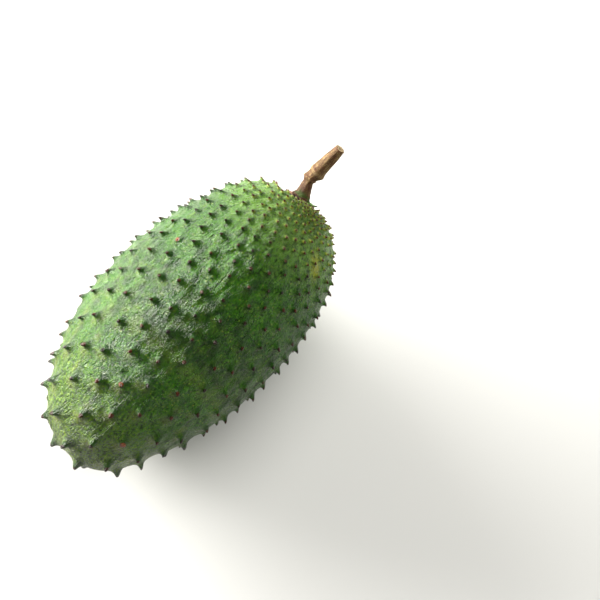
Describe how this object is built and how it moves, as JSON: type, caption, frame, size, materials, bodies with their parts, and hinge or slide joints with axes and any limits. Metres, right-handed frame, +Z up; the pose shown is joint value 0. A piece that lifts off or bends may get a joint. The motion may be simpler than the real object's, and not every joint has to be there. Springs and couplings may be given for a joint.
{
  "type": "soursop",
  "caption": "Whole soursop lying on its side: a long green ovoid fruit set with soft curved spines, a corky calyx collar and a crooked woody stem.",
  "frame": {"origin": "middle of the small flat spot that the fruit rests on", "axes": "+Z up, +X along the fruit towards its stem, +Y to the side"},
  "size_m": [0.2053, 0.103, 0.0996],
  "materials": {
    "skin": "soft waxy sheen, finely crackled",
    "calyx": "dry and corky",
    "bark": "matt bark, wrinkled lengthwise"
  },
  "bodies": {
    "root": {"fruit": "skin", "calyx": "calyx", "stem": "bark"}
  },
  "joints": []
}
